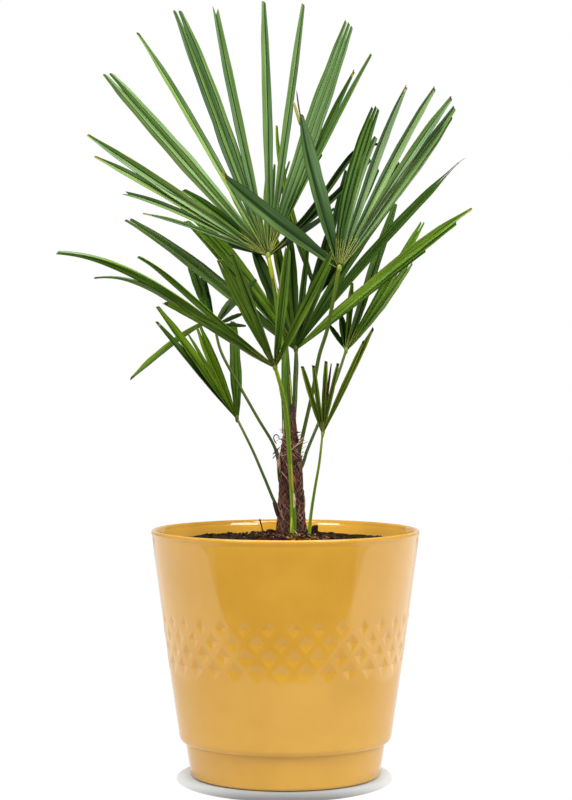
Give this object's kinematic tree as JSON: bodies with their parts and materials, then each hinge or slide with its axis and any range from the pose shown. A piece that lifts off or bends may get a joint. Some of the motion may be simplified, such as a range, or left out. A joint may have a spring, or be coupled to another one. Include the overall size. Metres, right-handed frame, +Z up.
{
  "type": "potted windmill palm",
  "caption": "Young fan palm with long narrow leaflets on slim stalks and a short fibrous trunk, growing in a round tapered glazed pot with a band of diamond dimples.",
  "frame": {"origin": "middle of the pot's flat underside, on the surface it stands on", "axes": "+Z up along the pot's axis, -Y towards the side the picture is taken from, +X to the right in it"},
  "size_m": [0.4837, 0.5078, 0.9034],
  "materials": {
    "glaze": "gloss mustard yellow glaze",
    "soil": "loose dark potting soil with bark crumbs",
    "fibre": "matted brown leaf-sheath fibre",
    "stalk": "satin green leaf stalk",
    "leaf": "satin green folded leaflets"
  },
  "bodies": {
    "root": {"pot": "glaze", "soil": "soil", "trunk": "fibre", "crown_sheath": "stalk", "stalk_top": "stalk", "frond_top": "leaf", "stalk_right_top": "stalk", "frond_right_top": "leaf", "stalk_rear_low": "stalk", "frond_rear_low": "leaf", "stalk_front": "stalk", "frond_front": "leaf", "stalk_left_low": "stalk", "frond_left_low": "leaf", "stalk_right_rear": "stalk", "frond_right_rear": "leaf", "stalk_right_small": "stalk", "frond_right_small": "leaf", "stalk_left_rear": "stalk", "frond_left_rear": "leaf", "stalk_rear_top": "stalk", "frond_rear_top": "leaf", "stalk_rear_high": "stalk", "frond_rear_high": "leaf"}
  },
  "joints": []
}
